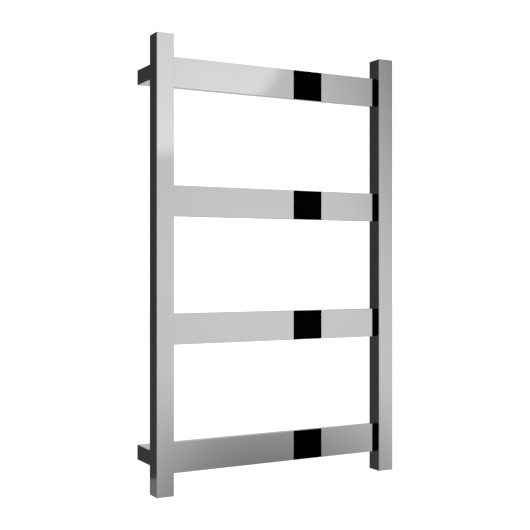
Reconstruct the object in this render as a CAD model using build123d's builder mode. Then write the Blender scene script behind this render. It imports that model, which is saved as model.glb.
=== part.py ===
from build123d import *
import os

# Wall-hung towel warmer: two upright tubes joined by four wide flat rungs, held off the wall by
# four telescopic brackets. Warm water runs up one upright, through the rungs and down the other.
#
# Frame, in millimetres: X along the rungs, Y towards the wall, Z up. The origin is the centre of
# the four wall holes, in the wall plane. The front of the rack faces -Y.

os.makedirs("parts", exist_ok=True)

# ------------------------------------------------------------------ overall size
HEIGHT = 800            # uprights, end to end
WIDTH = 495             # over both uprights
PROJECTION = 92         # wall plane to the front of the uprights

# ------------------------------------------------------------------ tubes
UPRIGHT_W = 32          # across, along X
UPRIGHT_D = 33          # front to back, along Y
RUNG_H = 54
RUNG_D = 12
RUNG_SETBACK = 12       # front of the uprights to the front of the rungs
RUNG_PITCH = 224
RUNG_COUNT = 4
TUBE_WALL = 1.5
EDGE_R = 0.5            # outer edges of every tube
END_R = 0.3             # softened cut ends

# ------------------------------------------------------------------ rung ends and inlays
COLLAR_L = 5            # black spacer between a rung and an upright
END_PLATE = 3.0
SPIGOT_H, SPIGOT_D = 30, 7
SPIGOT_WALL = 1.5
SPIGOT_INTO_UPRIGHT = 1.5
WELD_GAP = 0.1
INLAY_START = 241       # from the left end of the rung
INLAY_W = 61
INLAY_T = 3

# ------------------------------------------------------------------ ends of the uprights
CAP_T = 10
PORT_T = 16
PORT_R = 9.3            # bore of a G1/2 inside thread

# ------------------------------------------------------------------ wall brackets
BRACKET_Z = 336         # above and below the middle
SLEEVE_H = 27
SLEEVE_WALL = 2
SLIDE_GAP = 0.3
FLANGE_T = 3
STUB_L = 48             # wall plane to the stub's front end
STUB_WALL = 2
STUB_TRAVEL = 8         # adjustment of the distance to the wall
WALL_HOLE_R = 3.25
SCREW_Y = -25
SCREW_R = 2.5           # M5
SCREW_L = 6
SCREW_SOCKET = 2.5      # across flats
SOCKET_SIDES = 6
THREAD_GAP = 0.05

# ------------------------------------------------------------------ air vent and blanking plug
VENT_Z = 374
BOSS_R = 13.5
BOSS_T = 9
BOSS_BORE_R = 9.5
SHANK_SHORT = 1.0       # the threaded shanks end this far inside the bosses
VENT_FLANGE_R, VENT_FLANGE_T = 12, 3
RING_MAJOR, RING_MINOR = 10.9, 0.59
GROOVE_W, GROOVE_DEPTH = 1.4, 1.2
NECK_R, NECK_L = 6, 6.4
LIP_R, LIP_T = 6.9, 1.4
NOZZLE_R = 8.5
NOZZLE_GAP = 0.08
SPOUT_R, SPOUT_BORE_R, SPOUT_END = 2.2, 1.0, 14
BLEED_R = 1.5
BLEED_SCREW_R = 2.5
BLEED_SEAT = 2.0        # seat of the bleed screw, below the flange's outer face
BLEED_HEAD, BLEED_HEAD_L = 5, 4
DRILL_START = 1.0       # side way's drill starts this far outside the neck
PLUG_SOCKET, PLUG_SOCKET_DEPTH = 12, 7

# ------------------------------------------------------------------ worked out
RUNG_LEN = WIDTH - 2 * UPRIGHT_W - 2 * COLLAR_L
RUNG_X0 = -RUNG_LEN / 2
INLAY_X0 = RUNG_X0 + INLAY_START
SPIGOT_L = COLLAR_L + TUBE_WALL + SPIGOT_INTO_UPRIGHT
HOLE_H, HOLE_D = SPIGOT_H + 2 * WELD_GAP, SPIGOT_D + 2 * WELD_GAP
RUNG_FRONT = -PROJECTION + RUNG_SETBACK
RUNG_Y = RUNG_FRONT + RUNG_D / 2
RUNG_Z = [RUNG_PITCH * (i - (RUNG_COUNT - 1) / 2) for i in range(RUNG_COUNT)][::-1]
UPRIGHT_X = (WIDTH - UPRIGHT_W) / 2
UPRIGHT_Y = -PROJECTION + UPRIGHT_D / 2
UPRIGHT_BACK = -PROJECTION + UPRIGHT_D
INNER_FACE_X = UPRIGHT_X - UPRIGHT_W / 2
SIDES = {"left": -1, "right": 1}
CORNERS = {
    "upper_left": (-UPRIGHT_X, BRACKET_Z),
    "upper_right": (UPRIGHT_X, BRACKET_Z),
    "lower_left": (-UPRIGHT_X, -BRACKET_Z),
    "lower_right": (UPRIGHT_X, -BRACKET_Z),
}
SLEEVE_END = -FLANGE_T - SLIDE_GAP
STUB_W = UPRIGHT_W - 2 * (SLEEVE_WALL + SLIDE_GAP)
STUB_H = SLEEVE_H - 2 * (SLEEVE_WALL + SLIDE_GAP)
SLOT_LEN = STUB_TRAVEL + 2 * (SCREW_R + SLIDE_GAP)
SLOT_Y = SCREW_Y - STUB_TRAVEL / 2
FLANGE_TOP = UPRIGHT_BACK + VENT_FLANGE_T       # outer face of the vent's flange
PLUG_DEPTH = TUBE_WALL + BOSS_T - SHANK_SHORT
NOZZLE_L = NECK_L - LIP_T - 2 * NOZZLE_GAP
SPOUT_Y = FLANGE_TOP + (NECK_L - LIP_T) / 2


def facing_wall(y, x=0, z=0):
    """A plane at depth y whose normal points at the wall, with local x along -X and local y up."""
    return Plane(origin=(x, y, z), x_dir=(-1, 0, 0), z_dir=(0, 1, 0))


# ================================================================== uprights
for side, sign in SIDES.items():
    with BuildPart() as upright:
        with BuildSketch(Plane.XY.offset(-HEIGHT / 2)):
            with Locations((sign * UPRIGHT_X, UPRIGHT_Y)):
                RectangleRounded(UPRIGHT_W, UPRIGHT_D, EDGE_R)
                Rectangle(UPRIGHT_W - 2 * TUBE_WALL, UPRIGHT_D - 2 * TUBE_WALL, mode=Mode.SUBTRACT)
        extrude(amount=HEIGHT)
        for end_face in upright.faces().filter_by(Plane.XY):
            fillet(end_face.outer_wire().edges(), END_R)
        # slots for the rungs' spigots, through the inner wall
        with BuildSketch(Plane.YZ.offset(sign * INNER_FACE_X)):
            with Locations(*[(RUNG_Y, z) for z in RUNG_Z]):
                SlotOverall(HOLE_H, HOLE_D, rotation=90)
        extrude(amount=sign * TUBE_WALL, mode=Mode.SUBTRACT)
        # round hole in the back wall, for the vent or the blanking plug
        with BuildSketch(facing_wall(UPRIGHT_BACK, sign * UPRIGHT_X, VENT_Z)):
            Circle(BOSS_BORE_R)
        extrude(amount=-TUBE_WALL, mode=Mode.SUBTRACT)
    upright.part.label = f"upright_{side}"
    export_step(upright.part, f"parts/upright_{side}.step")

    # closed top, set inside the tube and ground flush with its end
    with BuildPart() as cap:
        with BuildSketch(Plane.XY.offset(HEIGHT / 2 - CAP_T)):
            with Locations((sign * UPRIGHT_X, UPRIGHT_Y)):
                Rectangle(UPRIGHT_W - 2 * TUBE_WALL, UPRIGHT_D - 2 * TUBE_WALL)
        extrude(amount=CAP_T)
    cap.part.label = f"top_cap_{side}"
    export_step(cap.part, f"parts/top_cap_{side}.step")

    # water connection in the bottom end
    with BuildPart() as port:
        with BuildSketch(Plane.XY.offset(-HEIGHT / 2)):
            with Locations((sign * UPRIGHT_X, UPRIGHT_Y)):
                Rectangle(UPRIGHT_W - 2 * TUBE_WALL, UPRIGHT_D - 2 * TUBE_WALL)
                Circle(PORT_R, mode=Mode.SUBTRACT)
        extrude(amount=PORT_T)
    port.part.label = f"water_port_{side}"
    export_step(port.part, f"parts/water_port_{side}.step")

# ================================================================== rungs, inlays and collars
for number, z in enumerate(RUNG_Z, start=1):
    with BuildPart() as rung:
        with BuildSketch(Plane.YZ.offset(RUNG_X0)):
            with Locations((RUNG_Y, z)):
                RectangleRounded(RUNG_D, RUNG_H, EDGE_R)
        extrude(amount=RUNG_LEN)
        # water space between the two end plates
        with BuildSketch(Plane.YZ.offset(RUNG_X0 + END_PLATE)):
            with Locations((RUNG_Y, z)):
                Rectangle(RUNG_D - 2 * TUBE_WALL, RUNG_H - 2 * TUBE_WALL)
        extrude(amount=RUNG_LEN - 2 * END_PLATE, mode=Mode.SUBTRACT)
        # inner pad that backs the inlay's recess, then the recess itself
        with BuildSketch(Plane.YZ.offset(INLAY_X0 - TUBE_WALL)):
            with Locations((RUNG_FRONT + TUBE_WALL + INLAY_T / 2, z)):
                Rectangle(INLAY_T, RUNG_H - 2 * TUBE_WALL)
        extrude(amount=INLAY_W + 2 * TUBE_WALL)
        with BuildSketch(Plane.YZ.offset(INLAY_X0)):
            with Locations((RUNG_FRONT + INLAY_T / 2, z)):
                Rectangle(INLAY_T, RUNG_H)
        extrude(amount=INLAY_W, mode=Mode.SUBTRACT)
        # hollow spigots that pass through the collars into the uprights
        for sign in SIDES.values():
            with BuildSketch(Plane.YZ.offset(sign * RUNG_LEN / 2)):
                with Locations((RUNG_Y, z)):
                    SlotOverall(SPIGOT_H, SPIGOT_D, rotation=90)
            extrude(amount=sign * SPIGOT_L)
            with BuildSketch(Plane.YZ.offset(sign * (RUNG_LEN / 2 + SPIGOT_L))):
                with Locations((RUNG_Y, z)):
                    SlotOverall(SPIGOT_H - 2 * SPIGOT_WALL, SPIGOT_D - 2 * SPIGOT_WALL, rotation=90)
            extrude(amount=-sign * (SPIGOT_L + END_PLATE), mode=Mode.SUBTRACT)
    rung.part.label = f"rung_{number}"
    export_step(rung.part, f"parts/rung_{number}.step")

    # black square, flush with the rung all round
    with BuildPart() as inlay:
        with BuildSketch(Plane.YZ.offset(INLAY_X0)):
            with Locations((RUNG_Y, z)):
                RectangleRounded(RUNG_D, RUNG_H, EDGE_R)
            with Locations((RUNG_FRONT + INLAY_T + RUNG_D / 2, z)):
                Rectangle(RUNG_D, RUNG_H, mode=Mode.SUBTRACT)
        extrude(amount=INLAY_W)
    inlay.part.label = f"inlay_{number}"
    export_step(inlay.part, f"parts/inlay_{number}.step")

    # black collar at each end of the rung
    for side, sign in SIDES.items():
        with BuildPart() as collar:
            with BuildSketch(Plane.YZ.offset(sign * RUNG_LEN / 2)):
                with Locations((RUNG_Y, z)):
                    RectangleRounded(RUNG_D, RUNG_H, EDGE_R)
                    SlotOverall(HOLE_H, HOLE_D, rotation=90, mode=Mode.SUBTRACT)
            extrude(amount=sign * COLLAR_L)
        collar.part.label = f"rung_collar_{number}_{side}"
        export_step(collar.part, f"parts/rung_collar_{number}_{side}.step")

# ================================================================== wall brackets
for corner, (x, z) in CORNERS.items():
    # square sleeve welded to the back of the upright, with a tapped hole underneath
    with BuildPart() as sleeve:
        with BuildSketch(facing_wall(UPRIGHT_BACK, x, z)):
            RectangleRounded(UPRIGHT_W, SLEEVE_H, EDGE_R)
            Rectangle(UPRIGHT_W - 2 * SLEEVE_WALL, SLEEVE_H - 2 * SLEEVE_WALL, mode=Mode.SUBTRACT)
        extrude(amount=SLEEVE_END - UPRIGHT_BACK)
        with BuildSketch(Plane.XY.offset(z - SLEEVE_H / 2)):
            with Locations((x, SCREW_Y)):
                Circle(SCREW_R)
        extrude(amount=SLEEVE_WALL, mode=Mode.SUBTRACT)
    sleeve.part.label = f"bracket_sleeve_{corner}"
    export_step(sleeve.part, f"parts/bracket_sleeve_{corner}.step")

    # stub that is screwed to the wall and slides in the sleeve, slotted for the clamping screw
    with BuildPart() as stub:
        with BuildSketch(facing_wall(-FLANGE_T, x, z)):
            RectangleRounded(UPRIGHT_W, SLEEVE_H, EDGE_R)
        extrude(amount=FLANGE_T)
        with BuildSketch(facing_wall(-STUB_L, x, z)):
            Rectangle(STUB_W, STUB_H)
            Rectangle(STUB_W - 2 * STUB_WALL, STUB_H - 2 * STUB_WALL, mode=Mode.SUBTRACT)
        extrude(amount=STUB_L - FLANGE_T)
        with BuildSketch(facing_wall(-FLANGE_T, x, z)):
            Circle(WALL_HOLE_R)
        extrude(amount=FLANGE_T, mode=Mode.SUBTRACT)
        with BuildSketch(Plane.XY.offset(z - STUB_H / 2)):
            with Locations((x, SLOT_Y)):
                SlotOverall(SLOT_LEN, 2 * (SCREW_R + SLIDE_GAP), rotation=90)
        extrude(amount=STUB_WALL, mode=Mode.SUBTRACT)
    stub.part.label = f"wall_stub_{corner}"
    export_step(stub.part, f"parts/wall_stub_{corner}.step")

    # clamping screw under the sleeve, with a hexagon socket
    with BuildPart() as screw:
        with BuildSketch(Plane.XY.offset(z - SLEEVE_H / 2)):
            with Locations((x, SCREW_Y)):
                Circle(SCREW_R - THREAD_GAP)
        extrude(amount=SCREW_L)
        with BuildSketch(Plane.XY.offset(z - SLEEVE_H / 2)):
            with Locations((x, SCREW_Y)):
                RegularPolygon(SCREW_SOCKET / 2, SOCKET_SIDES, major_radius=False)
        extrude(amount=SCREW_SOCKET, mode=Mode.SUBTRACT)
    screw.part.label = f"clamp_screw_{corner}"
    export_step(screw.part, f"parts/clamp_screw_{corner}.step")

# ================================================================== air vent and blanking plug
# tapped bosses welded inside the uprights, behind the round holes
for side, sign in SIDES.items():
    with BuildPart() as boss:
        with BuildSketch(facing_wall(UPRIGHT_BACK - TUBE_WALL, sign * UPRIGHT_X, VENT_Z)):
            Circle(BOSS_R)
            Circle(BOSS_BORE_R, mode=Mode.SUBTRACT)
        extrude(amount=-BOSS_T)
    boss.part.label = f"tapped_boss_{side}"
    export_step(boss.part, f"parts/tapped_boss_{side}.step")

vent_axis = facing_wall(FLANGE_TOP, UPRIGHT_X, VENT_Z)      # local z runs out towards the wall


def flanged_plug(plane):
    """Flange with a sealing groove, and the threaded shank below it."""
    with BuildPart() as plug:
        with BuildSketch(plane):
            Circle(VENT_FLANGE_R)
        extrude(amount=-VENT_FLANGE_T)
        with BuildSketch(plane.offset(-VENT_FLANGE_T)):
            Circle(RING_MAJOR + GROOVE_W / 2)
            Circle(RING_MAJOR - GROOVE_W / 2, mode=Mode.SUBTRACT)
        extrude(amount=GROOVE_DEPTH, mode=Mode.SUBTRACT)
        with BuildSketch(plane.offset(-VENT_FLANGE_T)):
            Circle(BOSS_BORE_R - THREAD_GAP)
        extrude(amount=-PLUG_DEPTH)
    return plug.part


def sealing_ring(plane):
    """Ring of round section that lies in the flange's groove."""
    with BuildPart(plane.offset(-VENT_FLANGE_T + GROOVE_DEPTH / 2)) as ring:
        Torus(RING_MAJOR, RING_MINOR)
    return ring.part


vent_blank = flanged_plug(vent_axis)
with BuildPart() as vent_body:
    add(vent_blank)
    with BuildSketch(vent_axis):
        Circle(NECK_R)
    extrude(amount=NECK_L)
    with BuildSketch(vent_axis.offset(NECK_L - LIP_T)):
        Circle(LIP_R)
    extrude(amount=LIP_T)
    # bore for the bleed screw down to its seat, and the narrow air way below
    with BuildSketch(vent_axis.offset(NECK_L)):
        Circle(BLEED_SCREW_R + THREAD_GAP)
    extrude(amount=-(NECK_L + BLEED_SEAT), mode=Mode.SUBTRACT)
    with BuildSketch(vent_axis.offset(-BLEED_SEAT)):
        Circle(BLEED_R)
    extrude(amount=-(VENT_FLANGE_T + PLUG_DEPTH), mode=Mode.SUBTRACT)
    # side way from the bore to the nozzle
    with BuildSketch(Plane.XY.offset(VENT_Z - NECK_R - DRILL_START)):
        with Locations((UPRIGHT_X, SPOUT_Y)):
            Circle(SPOUT_BORE_R)
    extrude(amount=NECK_R + DRILL_START, mode=Mode.SUBTRACT)
vent_body.part.label = "vent_body"
export_step(vent_body.part, "parts/vent_body.step")

vent_ring = sealing_ring(vent_axis)
vent_ring.label = "vent_sealing_ring"
export_step(vent_ring, "parts/vent_sealing_ring.step")

# collar that turns on the neck, with a spout to aim the water downwards
with BuildPart() as nozzle:
    with BuildSketch(vent_axis.offset(NOZZLE_GAP)):
        Circle(NOZZLE_R)
    extrude(amount=NOZZLE_L)
    with BuildSketch(Plane.XY.offset(VENT_Z - SPOUT_END)):
        with Locations((UPRIGHT_X, SPOUT_Y)):
            Circle(SPOUT_R)
    extrude(amount=SPOUT_END - NECK_R)
    with BuildSketch(vent_axis.offset(NOZZLE_GAP)):
        Circle(NECK_R + NOZZLE_GAP)
    extrude(amount=NOZZLE_L, mode=Mode.SUBTRACT)
    with BuildSketch(Plane.XY.offset(VENT_Z - SPOUT_END)):
        with Locations((UPRIGHT_X, SPOUT_Y)):
            Circle(SPOUT_BORE_R)
    extrude(amount=SPOUT_END - NECK_R, mode=Mode.SUBTRACT)
nozzle.part.label = "vent_nozzle"
export_step(nozzle.part, "parts/vent_nozzle.step")

# bleed screw: round shank with a square head for the vent key
with BuildPart() as bleed_screw:
    with BuildSketch(vent_axis.offset(-BLEED_SEAT + THREAD_GAP)):
        Circle(BLEED_SCREW_R)
    extrude(amount=NECK_L + BLEED_SEAT + THREAD_GAP)
    with BuildSketch(vent_axis.offset(NECK_L + 2 * THREAD_GAP)):
        Rectangle(BLEED_HEAD, BLEED_HEAD)
    extrude(amount=BLEED_HEAD_L)
    chamfer(bleed_screw.faces().sort_by(Axis.Y)[-1].edges(), END_R)
bleed_screw.part.label = "bleed_screw"
export_step(bleed_screw.part, "parts/bleed_screw.step")

plug_axis = facing_wall(FLANGE_TOP, -UPRIGHT_X, VENT_Z)
plug_blank = flanged_plug(plug_axis)
with BuildPart() as blanking_plug:
    add(plug_blank)
    with BuildSketch(plug_axis):
        RegularPolygon(PLUG_SOCKET / 2, SOCKET_SIDES, major_radius=False)
    extrude(amount=-PLUG_SOCKET_DEPTH, mode=Mode.SUBTRACT)
    fillet(blanking_plug.faces().sort_by(Axis.Y)[-1].outer_wire().edges(), END_R)
blanking_plug.part.label = "blanking_plug"
export_step(blanking_plug.part, "parts/blanking_plug.step")

plug_ring = sealing_ring(plug_axis)
plug_ring.label = "plug_sealing_ring"
export_step(plug_ring, "parts/plug_sealing_ring.step")
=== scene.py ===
import math

import bmesh
import bpy
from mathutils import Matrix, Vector


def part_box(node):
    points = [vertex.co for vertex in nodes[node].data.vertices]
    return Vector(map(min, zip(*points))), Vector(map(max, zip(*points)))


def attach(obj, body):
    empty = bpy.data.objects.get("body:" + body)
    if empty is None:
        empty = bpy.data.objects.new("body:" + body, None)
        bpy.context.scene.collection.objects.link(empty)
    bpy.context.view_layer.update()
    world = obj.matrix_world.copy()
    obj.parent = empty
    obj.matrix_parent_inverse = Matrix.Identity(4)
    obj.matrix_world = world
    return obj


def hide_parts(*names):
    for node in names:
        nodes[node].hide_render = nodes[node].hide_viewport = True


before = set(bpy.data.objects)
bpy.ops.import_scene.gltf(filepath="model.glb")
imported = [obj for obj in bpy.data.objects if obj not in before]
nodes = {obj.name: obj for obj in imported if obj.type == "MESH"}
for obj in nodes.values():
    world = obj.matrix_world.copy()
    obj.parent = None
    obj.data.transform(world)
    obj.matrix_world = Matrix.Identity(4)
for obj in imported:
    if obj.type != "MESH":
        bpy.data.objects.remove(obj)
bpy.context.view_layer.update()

# ------------------------------------------------------------------ camera
# It stands to the left of the rack at half its height and looks level.
CAMERA_TURN = math.radians(28.603)      # to the right of straight at the wall
CAMERA_AT = (-0.8817, -1.6419, -0.0010)
CAMERA_LENS = 66.02
CAMERA_SENSOR = 36.0
CAMERA_TILT = 0.0005                    # radians, upwards

camera = bpy.data.objects.new("camera", bpy.data.cameras.new("camera"))
camera.data.lens = CAMERA_LENS
camera.data.sensor_width = CAMERA_SENSOR
camera.location = CAMERA_AT
camera.rotation_euler = (math.radians(90) + CAMERA_TILT, 0, -CAMERA_TURN)
bpy.context.scene.collection.objects.link(camera)
bpy.context.scene.camera = camera
bpy.context.scene.view_settings.view_transform = "Standard"

# ------------------------------------------------------------------ studio
FLOOR_Z = -3.0
FLOOR_SIZE = 120.0
AMBIENT = 1.3           # white light on the floor and on everything that isn't shiny
FLOOR_COLOUR = (0.92, 0.92, 0.92)
FLOOR_ROUGHNESS = 0.9

# The studio as polished metal sees it. Each panel has an azimuth from the front towards the right
# and an elevation, in degrees, half a width and half a height as sines, the softness of its edge as
# a share of them, and a strength. A flag takes light away. The summed panels and flags add up, and
# of the room's panels the brightest counts.
STUDIO_BASE = 0.04
SUMMED_PANELS = [
    ("key_disc", 20.0, 16.0, 0.18, 0.17, 0.05, 0.25),
    ("front_wash", 29.0, -1.0, 0.40, 0.40, 1.0, 0.67),
    ("low_flag", 29.0, -15.0, 0.12, 0.12, 0.60, -0.40),
    ("right_flag", 47.0, 16.0, 0.16, 0.30, 0.80, -0.75),
    ("front_left_panel", -8.0, 0.0, 0.20, 0.6, 0.45, 0.35),
    ("camera_flag", -35.3, 0.0, 0.05, 0.30, 0.30, -0.06),
    ("back_floor", -157.9, -40.0, 0.8, 0.4648, 0.002, 0.12),
    ("floor_glow", 0.0, -85.0, 0.7, 0.7, 0.5, 0.30),
]
ROOM_PANELS = [
    ("right_front_panel", 62.0, 8.0, 0.40, 0.42, 0.04, 0.52),
    ("right_panel", 100.0, 10.0, 0.36, 0.36, 0.85, 0.70),
    ("right_back_panel", 154.0, 0.0, 0.38, 0.70, 0.35, 0.54),
    ("back_panel", 170.0, 8.0, 0.25, 0.32, 0.85, 0.68),
    ("back_left_panel", -128.0, 8.0, 0.19, 0.55, 0.10, 0.55),
    ("left_panel", -94.0, 10.0, 0.36, 0.36, 0.80, 0.72),
    ("left_front_panel", -55.0, 6.0, 0.22, 0.42, 0.25, 0.60),
    ("upper_front_panel", 25.0, 52.0, 0.55, 0.33, 0.30, 0.50),
    ("upper_left_panel", -150.0, 50.0, 0.60, 0.54, 0.05, 0.45),
    ("low_back_panel", -165.0, -40.0, 0.75, 0.41, 0.05, 0.34),
    ("low_left_panel", -45.0, -36.0, 0.45, 0.30, 0.25, 0.32),
    ("low_right_panel", 70.0, -38.0, 0.60, 0.30, 0.30, 0.28),
    ("top_panel", 0.0, 85.0, 0.60, 0.60, 0.40, 0.72),
]


def link(tree, start, end):
    tree.links.new(start, end)


def math_node(tree, operation, a, b=None):
    """A Math node whose inputs are sockets or numbers; returns its output."""
    node = tree.nodes.new("ShaderNodeMath")
    node.operation = operation
    for i, value in enumerate((a, b)):
        if value is None:
            continue
        if isinstance(value, (int, float)):
            node.inputs[i].default_value = value
        else:
            link(tree, value, node.inputs[i])
    return node.outputs[0]


def dot(tree, direction, vector):
    node = tree.nodes.new("ShaderNodeVectorMath")
    node.operation = "DOT_PRODUCT"
    link(tree, direction, node.inputs[0])
    node.inputs[1].default_value = vector
    return node.outputs["Value"]


def panel_light(tree, direction, azimuth, elevation, width, height, softness, strength):
    """Light that a soft elliptical panel sends from the given direction, or that a flag takes away."""
    a, e = math.radians(azimuth), math.radians(elevation)
    centre = Vector((math.sin(a) * math.cos(e), -math.cos(a) * math.cos(e), math.sin(e)))
    across = Vector((math.cos(a), math.sin(a), 0))
    up = across.cross(-centre)
    if up.z < 0:
        up = -up
    x = dot(tree, direction, across / width)
    y = dot(tree, direction, up / height)
    reach = math_node(tree, "SQRT", math_node(tree, "ADD", math_node(tree, "POWER", x, 2.0),
                                              math_node(tree, "POWER", y, 2.0)))
    edge = tree.nodes.new("ShaderNodeMapRange")
    edge.interpolation_type = "SMOOTHSTEP"
    link(tree, reach, edge.inputs["Value"])
    edge.inputs["From Min"].default_value = 1.0 - softness
    edge.inputs["From Max"].default_value = 1.0 + softness
    edge.inputs["To Min"].default_value = strength
    edge.inputs["To Max"].default_value = 0.0
    in_front = math_node(tree, "GREATER_THAN", dot(tree, direction, centre), 0.0)
    return math_node(tree, "MULTIPLY", edge.outputs["Result"], in_front)


def make_studio():
    world = bpy.data.worlds.new("studio")
    bpy.context.scene.world = world
    world.use_nodes = True
    world.cycles.sampling_method = "NONE"
    tree = world.node_tree
    tree.nodes.clear()
    direction = tree.nodes.new("ShaderNodeTexCoord").outputs["Generated"]
    total = STUDIO_BASE
    for name, *shape in SUMMED_PANELS:
        total = math_node(tree, "ADD", panel_light(tree, direction, *shape), total)
    total = math_node(tree, "MAXIMUM", total, 0.0)
    for name, *shape in ROOM_PANELS:
        total = math_node(tree, "MAXIMUM", panel_light(tree, direction, *shape), total)
    seen_in_metal = tree.nodes.new("ShaderNodeBackground")
    seen_in_metal.inputs["Color"].default_value = (1, 1, 1, 1)
    link(tree, total, seen_in_metal.inputs["Strength"])
    ambient = tree.nodes.new("ShaderNodeBackground")
    ambient.inputs["Color"].default_value = (1, 1, 1, 1)
    ambient.inputs["Strength"].default_value = AMBIENT
    path = tree.nodes.new("ShaderNodeLightPath")
    mix = tree.nodes.new("ShaderNodeMixShader")
    link(tree, path.outputs["Is Glossy Ray"], mix.inputs[0])
    link(tree, ambient.outputs[0], mix.inputs[1])
    link(tree, seen_in_metal.outputs[0], mix.inputs[2])
    output = tree.nodes.new("ShaderNodeOutputWorld")
    link(tree, mix.outputs[0], output.inputs["Surface"])


def make_floor():
    bpy.ops.mesh.primitive_plane_add(size=FLOOR_SIZE, location=(0, 0, FLOOR_Z))
    floor = bpy.context.object
    floor.name = "floor"
    material = bpy.data.materials.new("pale_floor")
    material.use_nodes = True
    shader = material.node_tree.nodes["Principled BSDF"]
    shader.inputs["Base Color"].default_value = (*FLOOR_COLOUR, 1)
    shader.inputs["Roughness"].default_value = FLOOR_ROUGHNESS
    shader.inputs["Specular IOR Level"].default_value = 0.0
    floor.data.materials.append(material)
    floor.visible_glossy = False


make_studio()
make_floor()


# ------------------------------------------------------------------ materials
# Lengths are in metres. A grain gives the size of its marks along X, Y and Z.
CHROME = (0.797, 0.811, 0.804)
CHROME_CLOUDED = (0.785, 0.797, 0.796)
POLISH_WIDTH, POLISH_LENGTH = 0.0006, 0.05
HAZE_SIZE = 0.07
WAVE_SIZE = 0.035
POLISH_DEPTH, WAVE_DEPTH = 2.0e-7, 1.5e-5
POLISH_ROUGHNESS = 0.012        # most that a polishing line adds
TURNING_PITCH = 0.00022
TURNING_DEPTH = 8.0e-6
PATCH_SIZE = 0.006              # cloudy patches on turned metal
BLACK_GLASS = (0.0002, 0.0002, 0.0002)
DUST = (0.004, 0.004, 0.0045)
DUST_SIZE = 0.0006
DUST_START, DUST_END = 0.78, 0.82       # only the noise's highest values are specks
WIPE_LENGTH, WIPE_WIDTH = 0.03, 0.0007
WIPE_DEPTH = 1.0e-7
CLOUD_SIZE = 0.012              # wear on moulded parts
CLOUD_ROUGHNESS = 0.06          # how far it moves their roughness either way


def new_material(name, colour, metallic, roughness, specular=0.5):
    """A material with numbers that are the same all over; returns it with its tree and shader."""
    material = bpy.data.materials.new(name)
    material.use_nodes = True
    shader = material.node_tree.nodes["Principled BSDF"]
    shader.inputs["Base Color"].default_value = (*colour, 1)
    shader.inputs["Metallic"].default_value = metallic
    shader.inputs["Roughness"].default_value = roughness
    shader.inputs["Specular IOR Level"].default_value = specular
    return material, material.node_tree, shader


def object_coords(tree):
    return tree.nodes.new("ShaderNodeTexCoord").outputs["Object"]


def grain(tree, coords, sizes, detail=2.0):
    """Noise whose marks have the given sizes along X, Y and Z."""
    mapping = tree.nodes.new("ShaderNodeMapping")
    mapping.inputs["Scale"].default_value = [1.0 / size for size in sizes]
    link(tree, coords, mapping.inputs["Vector"])
    noise = tree.nodes.new("ShaderNodeTexNoise")
    noise.inputs["Scale"].default_value = 1.0
    noise.inputs["Detail"].default_value = detail
    link(tree, mapping.outputs["Vector"], noise.inputs["Vector"])
    return noise.outputs["Fac"]


def spread(tree, value, low, high, start=0.3, end=0.7):
    """The value, from start to end, mapped to low to high and held there."""
    node = tree.nodes.new("ShaderNodeMapRange")
    link(tree, value, node.inputs["Value"])
    for socket, number in zip(("From Min", "From Max", "To Min", "To Max"), (start, end, low, high)):
        node.inputs[socket].default_value = number
    return node.outputs["Result"]


def blend_colours(tree, amount, first, second):
    node = tree.nodes.new("ShaderNodeMix")
    node.data_type = "RGBA"
    link(tree, amount, node.inputs["Factor"])
    node.inputs["A"].default_value = (*first, 1)
    node.inputs["B"].default_value = (*second, 1)
    return node.outputs["Result"]


def bump(tree, shader, layers):
    """Stack pairs of height and depth on the shader's normal."""
    below = None
    for height, depth in layers:
        node = tree.nodes.new("ShaderNodeBump")
        node.inputs["Distance"].default_value = depth
        link(tree, height, node.inputs["Height"])
        if below is not None:
            link(tree, below, node.inputs["Normal"])
        below = node.outputs["Normal"]
    link(tree, below, shader.inputs["Normal"])


def polished_chrome(name, axis, low=0.02, high=0.045):
    """Mirror chrome: fine polishing lines along one axis, faint haze, and a slow wave in the steel."""
    material, tree, shader = new_material(name, CHROME, 1.0, low)
    coords = object_coords(tree)
    sizes = [POLISH_WIDTH] * 3
    sizes[axis] = POLISH_LENGTH
    lines = grain(tree, coords, sizes)
    haze = grain(tree, coords, [HAZE_SIZE] * 3, 4.0)
    wave = grain(tree, coords, [WAVE_SIZE] * 3, 0.0)
    clouded = spread(tree, haze, 0.0, 1.0)
    link(tree, blend_colours(tree, clouded, CHROME, CHROME_CLOUDED), shader.inputs["Base Color"])
    rough = math_node(tree, "ADD", spread(tree, haze, low, high), spread(tree, lines, 0.0, POLISH_ROUGHNESS))
    link(tree, rough, shader.inputs["Roughness"])
    bump(tree, shader, ((wave, WAVE_DEPTH), (lines, POLISH_DEPTH)))
    return material


def from_axis(tree, coords, axis, centre):
    """Distance from the axis through (|x|, y, z) = centre."""
    xyz = tree.nodes.new("ShaderNodeSeparateXYZ")
    link(tree, coords, xyz.inputs[0])
    places = [math_node(tree, "ABSOLUTE", xyz.outputs[0]), xyz.outputs[1], xyz.outputs[2]]
    across = [math_node(tree, "SUBTRACT", places[i], centre[i]) for i in range(3) if i != axis]
    squares = [math_node(tree, "MULTIPLY", a, a) for a in across]
    return math_node(tree, "SQRT", math_node(tree, "ADD", *squares))


def turned_metal(name, colour, worn, axis, centre, low, high):
    """Lathe-turned metal: fine rings about an axis, under cloudy patches."""
    material, tree, shader = new_material(name, colour, 1.0, low)
    coords = object_coords(tree)
    rings = math_node(tree, "SINE", math_node(tree, "MULTIPLY", from_axis(tree, coords, axis, centre),
                                              math.tau / TURNING_PITCH))
    patches = grain(tree, coords, [PATCH_SIZE] * 3, 3.0)
    patchy = blend_colours(tree, spread(tree, patches, 0.0, 1.0), colour, worn)
    link(tree, patchy, shader.inputs["Base Color"])
    link(tree, spread(tree, patches, low, high), shader.inputs["Roughness"])
    bump(tree, shader, ((rings, TURNING_DEPTH),))
    return material


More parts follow.
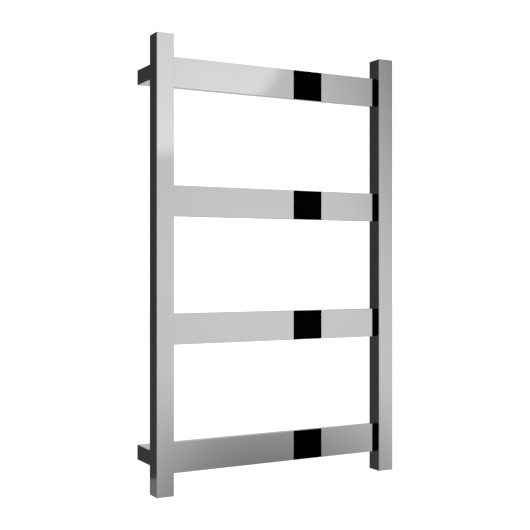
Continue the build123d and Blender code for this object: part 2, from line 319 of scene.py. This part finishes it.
def gloss_black():
    """Black glass: fine wipe marks and a few specks of dust in the gloss."""
    material, tree, shader = new_material("gloss_black", BLACK_GLASS, 0.0, 0.05, 0.004)
    coords = object_coords(tree)
    wiping = grain(tree, coords, (WIPE_LENGTH, WIPE_LENGTH, WIPE_WIDTH), 3.0)
    dust = grain(tree, coords, [DUST_SIZE] * 3, 1.0)
    specks = spread(tree, dust, 0.0, 1.0, DUST_START, DUST_END)
    link(tree, blend_colours(tree, specks, BLACK_GLASS, DUST), shader.inputs["Base Color"])
    link(tree, spread(tree, wiping, 0.04, 0.10), shader.inputs["Roughness"])
    bump(tree, shader, ((wiping, WIPE_DEPTH),))
    return material


def moulded(name, colour, worn, roughness, specular, texture_size, depth):
    """Moulded plastic or rubber: an even fine texture with faint cloudy wear."""
    material, tree, shader = new_material(name, colour, 0.0, roughness, specular)
    coords = object_coords(tree)
    texture = grain(tree, coords, [texture_size] * 3, 2.0)
    clouds = grain(tree, coords, [CLOUD_SIZE] * 3, 3.0)
    cloudy = blend_colours(tree, spread(tree, clouds, 0.0, 1.0), colour, worn)
    link(tree, cloudy, shader.inputs["Base Color"])
    rough = spread(tree, clouds, roughness - CLOUD_ROUGHNESS, roughness + CLOUD_ROUGHNESS)
    link(tree, rough, shader.inputs["Roughness"])
    bump(tree, shader, ((texture, depth),))
    return material


def middle(node):
    low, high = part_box(node)
    return (low + high) / 2


PORT_AXIS = middle("water_port_right")
SCREW_AXIS = middle("clamp_screw_upper_right")
VENT_AXIS = middle("vent_body")
X, Y, Z = range(3)

chrome_along = [polished_chrome("polished_chrome_" + "xyz"[axis], axis) for axis in (X, Y, Z)]
fitting_chrome = turned_metal("fitting_chrome", CHROME, CHROME_CLOUDED, Y, VENT_AXIS, 0.05, 0.12)
bright_steel = turned_metal("zinc_plated_steel", (0.56, 0.57, 0.60), (0.50, 0.50, 0.47), Z, PORT_AXIS,
                            0.22, 0.38)
screw_steel = turned_metal("socket_screw_steel", (0.42, 0.42, 0.44), (0.33, 0.32, 0.31), Z, SCREW_AXIS,
                           0.25, 0.40)
black_inlay = gloss_black()
black_collar = moulded("black_collar_plastic", (0.0005, 0.0005, 0.0005), (0.0009, 0.0009, 0.0009),
                       0.35, 0.02, 0.0004, 2.0e-5)
rubber = moulded("seal_rubber", (0.012, 0.012, 0.012), (0.025, 0.024, 0.023), 0.62, 0.3, 0.0003, 3.0e-5)
white_plastic = moulded("white_vent_plastic", (0.80, 0.80, 0.78), (0.74, 0.73, 0.69), 0.42, 0.5,
                        0.0004, 1.2e-5)

FINISHES = {                    # node names start with these; the first that fits is used
    "upright": chrome_along[Z], "top_cap": chrome_along[Z], "rung_collar": black_collar,
    "rung": chrome_along[X], "bracket_sleeve": chrome_along[Y], "wall_stub": chrome_along[Y],
    "inlay": black_inlay, "water_port": bright_steel, "tapped_boss": bright_steel,
    "clamp_screw": screw_steel, "vent_sealing": rubber, "plug_sealing": rubber,
    "vent_nozzle": white_plastic, "vent_body": fitting_chrome, "bleed_screw": chrome_along[Y],
    "blanking_plug": fitting_chrome,
}
for name, node in nodes.items():
    finish = next(material for start, material in FINISHES.items() if name.startswith(start))
    node.data.materials.clear()
    node.data.materials.append(finish)


# ------------------------------------------------------------------ small pieces
CREASE = math.radians(40)       # edges sharper than this stay crisp


def new_piece(name, mesh, material, body):
    """Link a finished bmesh as a closed, smooth piece that rides on a body."""
    data = bpy.data.meshes.new(name)
    bmesh.ops.recalc_face_normals(mesh, faces=mesh.faces)
    for face in mesh.faces:
        face.smooth = True
    mesh.to_mesh(data)
    mesh.free()
    data.set_sharp_from_angle(angle=CREASE)
    data.materials.append(material)
    piece = bpy.data.objects.new(name, data)
    bpy.context.scene.collection.objects.link(piece)
    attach(piece, body)
    return piece


def loft(mesh, sections, ring=False):
    """Faces between closed sections; a ring's last section joins its first, and other ends are capped."""
    grid = [[mesh.verts.new(point) for point in section] for section in sections]
    for i in range(len(grid) if ring else len(grid) - 1):
        here, following = grid[i], grid[(i + 1) % len(grid)]
        for j in range(len(here)):
            k = (j + 1) % len(here)
            mesh.faces.new((here[j], here[k], following[k], following[j]))
    if not ring:
        mesh.faces.new(grid[0])
        mesh.faces.new(grid[-1])


WELD_LEG = 0.0014               # how far a weld reaches along each of the two faces
WELD_CROWN = 0.1                # swelling of its hollow face, as a share of the leg
WELD_RIPPLE = 0.00012
WELD_RIPPLE_PITCH = 0.0011
WELD_END_GAP = 0.0008           # from the sleeve's corners
WELD_END_L = 0.0016             # length over which an end tapers
WELD_END_SIZE = 0.45
WELD_SINK = 0.0001
WELD_STEPS = 6                  # points round a section, and along each ripple
TUBE_EDGE_R = 0.0005


def weld_section(x, y, z, up, leg, crown):
    """Hollow fillet between the sleeve's face at height z and the upright's back at depth y."""
    root_y, root_z = y - WELD_SINK, z - up * WELD_SINK
    points = [(x, root_y, root_z)]
    for step in range(WELD_STEPS + 1):
        angle = math.pi / 2 * step / WELD_STEPS
        reach = leg + crown * math.sin(2 * angle)
        points.append((x, root_y + reach * (1 - math.sin(angle)),
                       root_z + up * reach * (1 - math.cos(angle))))
    return points


def weld_bead(corner):
    """Ripple welds above and below a sleeve, and welds ground flush with the tubes at its sides."""
    low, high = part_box("bracket_sleeve_" + corner)
    mesh = bmesh.new()
    length = high.x - low.x - 2 * WELD_END_GAP
    count = int(length / WELD_RIPPLE_PITCH) * WELD_STEPS
    for z, up in ((high.z, 1), (low.z, -1)):
        sections = []
        for i in range(count + 1):
            along = length * i / count
            to_end = min(along, length - along) / WELD_END_L
            size = max(WELD_END_SIZE, min(1.0, to_end) ** 0.5)
            ripple = WELD_RIPPLE * abs(math.sin(math.pi * along / WELD_RIPPLE_PITCH))
            crown = (WELD_CROWN * WELD_LEG + ripple) * size
            x = low.x + WELD_END_GAP + along
            sections.append(weld_section(x, low.y, z, up, WELD_LEG * size, crown))
        loft(mesh, sections)
    for x, inwards in ((low.x, 1), (high.x, -1)):
        groove = ((x, low.y - TUBE_EDGE_R), (x, low.y), (x + inwards * TUBE_EDGE_R, low.y))
        heights = (low.z + TUBE_EDGE_R, high.z - TUBE_EDGE_R)
        loft(mesh, [[(*point, z) for point in groove] for z in heights])
    return new_piece("weld_bead_" + corner, mesh, chrome_along[X], "rack")


for corner in ("upper_left", "upper_right", "lower_left", "lower_right"):
    weld_bead(corner)

THREAD_PITCH = 0.001814         # G1/2 inside thread
THREAD_MINOR_R = 0.0093
THREAD_DEPTH = 0.00116
THREAD_FLAT = 0.12              # crest and root, each as a share of the pitch
PORT_MOUTH_R = 0.0108           # wide end of the countersink
PORT_COLUMNS = 72
PORT_ROWS = 8                   # in each turn of the thread
PORT_MERGE = 1e-6               # points nearer than this are one
NEARLY_ZERO = 1e-9


def thread_radius(turns, z, low, high):
    """Radius of the bore, from the place on the thread's flank and the height."""
    flank = abs(turns % 1.0 - 0.5) * 2
    depth = THREAD_DEPTH * min(1.0, max(0.0, (flank - THREAD_FLAT) / (1 - 2 * THREAD_FLAT)))
    run_out = min(1.0, (high - z) / THREAD_PITCH)
    return max(THREAD_MINOR_R + depth * run_out, PORT_MOUTH_R - (z - low))


def on_outline(angle, half_x, half_y):
    """Point of a rectangle in the given direction; the direction nearest to a corner gives the corner."""
    c, s = math.cos(angle), math.sin(angle)
    if abs(abs(c) - abs(s)) < math.pi / PORT_COLUMNS:
        return math.copysign(half_x, c), math.copysign(half_y, s)
    scale = min(half_x / max(abs(c), NEARLY_ZERO), half_y / max(abs(s), NEARLY_ZERO))
    return scale * c, scale * s


def port_column(column, middle_x, middle_y, low, high):
    """Points of the port at one angle: outside from the top down, then up the threaded bore."""
    angle = math.tau * column / PORT_COLUMNS
    x, y = on_outline(angle, (high.x - low.x) / 2, (high.y - low.y) / 2)
    points = [(middle_x + x, middle_y + y, high.z), (middle_x + x, middle_y + y, low.z)]
    turns = int((high.z - low.z) / THREAD_PITCH) + 2
    for row in range(-PORT_ROWS, turns * PORT_ROWS + 1):
        place = row / PORT_ROWS + column / PORT_COLUMNS
        z = min(max(low.z + place * THREAD_PITCH, low.z), high.z)
        reach = thread_radius((z - low.z) / THREAD_PITCH - column / PORT_COLUMNS, z, low.z, high.z)
        points.append((middle_x + reach * math.cos(angle), middle_y + reach * math.sin(angle), z))
    return points


def threaded_port(side):
    """Water connection with its inside thread, closed all round."""
    low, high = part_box("water_port_" + side)
    mesh = bmesh.new()
    centre = (low + high) / 2
    columns = [port_column(column, centre.x, centre.y, low, high) for column in range(PORT_COLUMNS + 1)]
    for here, following in zip(columns, columns[1:]):
        for i in range(len(here)):
            k = (i + 1) % len(here)
            corners = (here[i], here[k], following[k], following[i])
            mesh.faces.new([mesh.verts.new(point) for point in corners])
    bmesh.ops.remove_doubles(mesh, verts=mesh.verts, dist=PORT_MERGE)
    piece = new_piece("threaded_port_" + side, mesh, bright_steel, "rack")
    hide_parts("water_port_" + side)


threaded_port("left")
threaded_port("right")

RIM = -0.35                     # the ring's rims dip below the surface that carries it
RIB_PROFILE = ((0.0, RIM), (0.12, 0.6), (0.3, 1.0), (0.7, 1.0), (0.88, 0.6), (1.0, RIM),
               (0.9, 3 * RIM), (0.1, 3 * RIM))
RIB_STEPS = 8
RIB_ROUNDING = 0.6              # below 1 widens the ribs' tops


def ribbed_ring(name, y_start, y_end, radius, rib, count, material, body):
    """Ring about the vent's axis with rounded finger ribs, softened at both rims."""
    mesh = bmesh.new()
    sections = []
    for step in range(count * RIB_STEPS):
        angle = math.tau * step / (count * RIB_STEPS)
        wave = max(0.0, math.cos(count * angle)) ** RIB_ROUNDING
        section = []
        for along, height in RIB_PROFILE:
            reach = radius + rib * (height * wave if height > 0 else height)
            section.append((VENT_AXIS.x + reach * math.cos(angle), y_start + along * (y_end - y_start),
                            VENT_AXIS.z + reach * math.sin(angle)))
        sections.append(section)
    loft(mesh, sections, ring=True)
    return new_piece(name, mesh, material, body)


VENT_FLANGE_T = 0.003
KNURL_RIB, KNURL_COUNT = 0.00035, 42
KNURL_UPRIGHT_GAP, KNURL_FACE_GAP = 0.0006, 0.0004      # from the upright and the flange's face
GRIP_RIB, GRIP_COUNT = 0.0004, 18
GRIP_GAP = 0.0007               # from the nozzle's ends

upright_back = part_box("upright_right")[1].y
body_low, body_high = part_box("vent_body")
nozzle_low, nozzle_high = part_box("vent_nozzle")
ribbed_ring("vent_knurl", upright_back + KNURL_UPRIGHT_GAP, upright_back + VENT_FLANGE_T - KNURL_FACE_GAP,
            (body_high.x - body_low.x) / 2, KNURL_RIB, KNURL_COUNT, fitting_chrome,
            "rack")
ribbed_ring("nozzle_grip", nozzle_low.y + GRIP_GAP, nozzle_high.y - GRIP_GAP,
            (nozzle_high.x - nozzle_low.x) / 2, GRIP_RIB, GRIP_COUNT, white_plastic,
            "vent_nozzle")
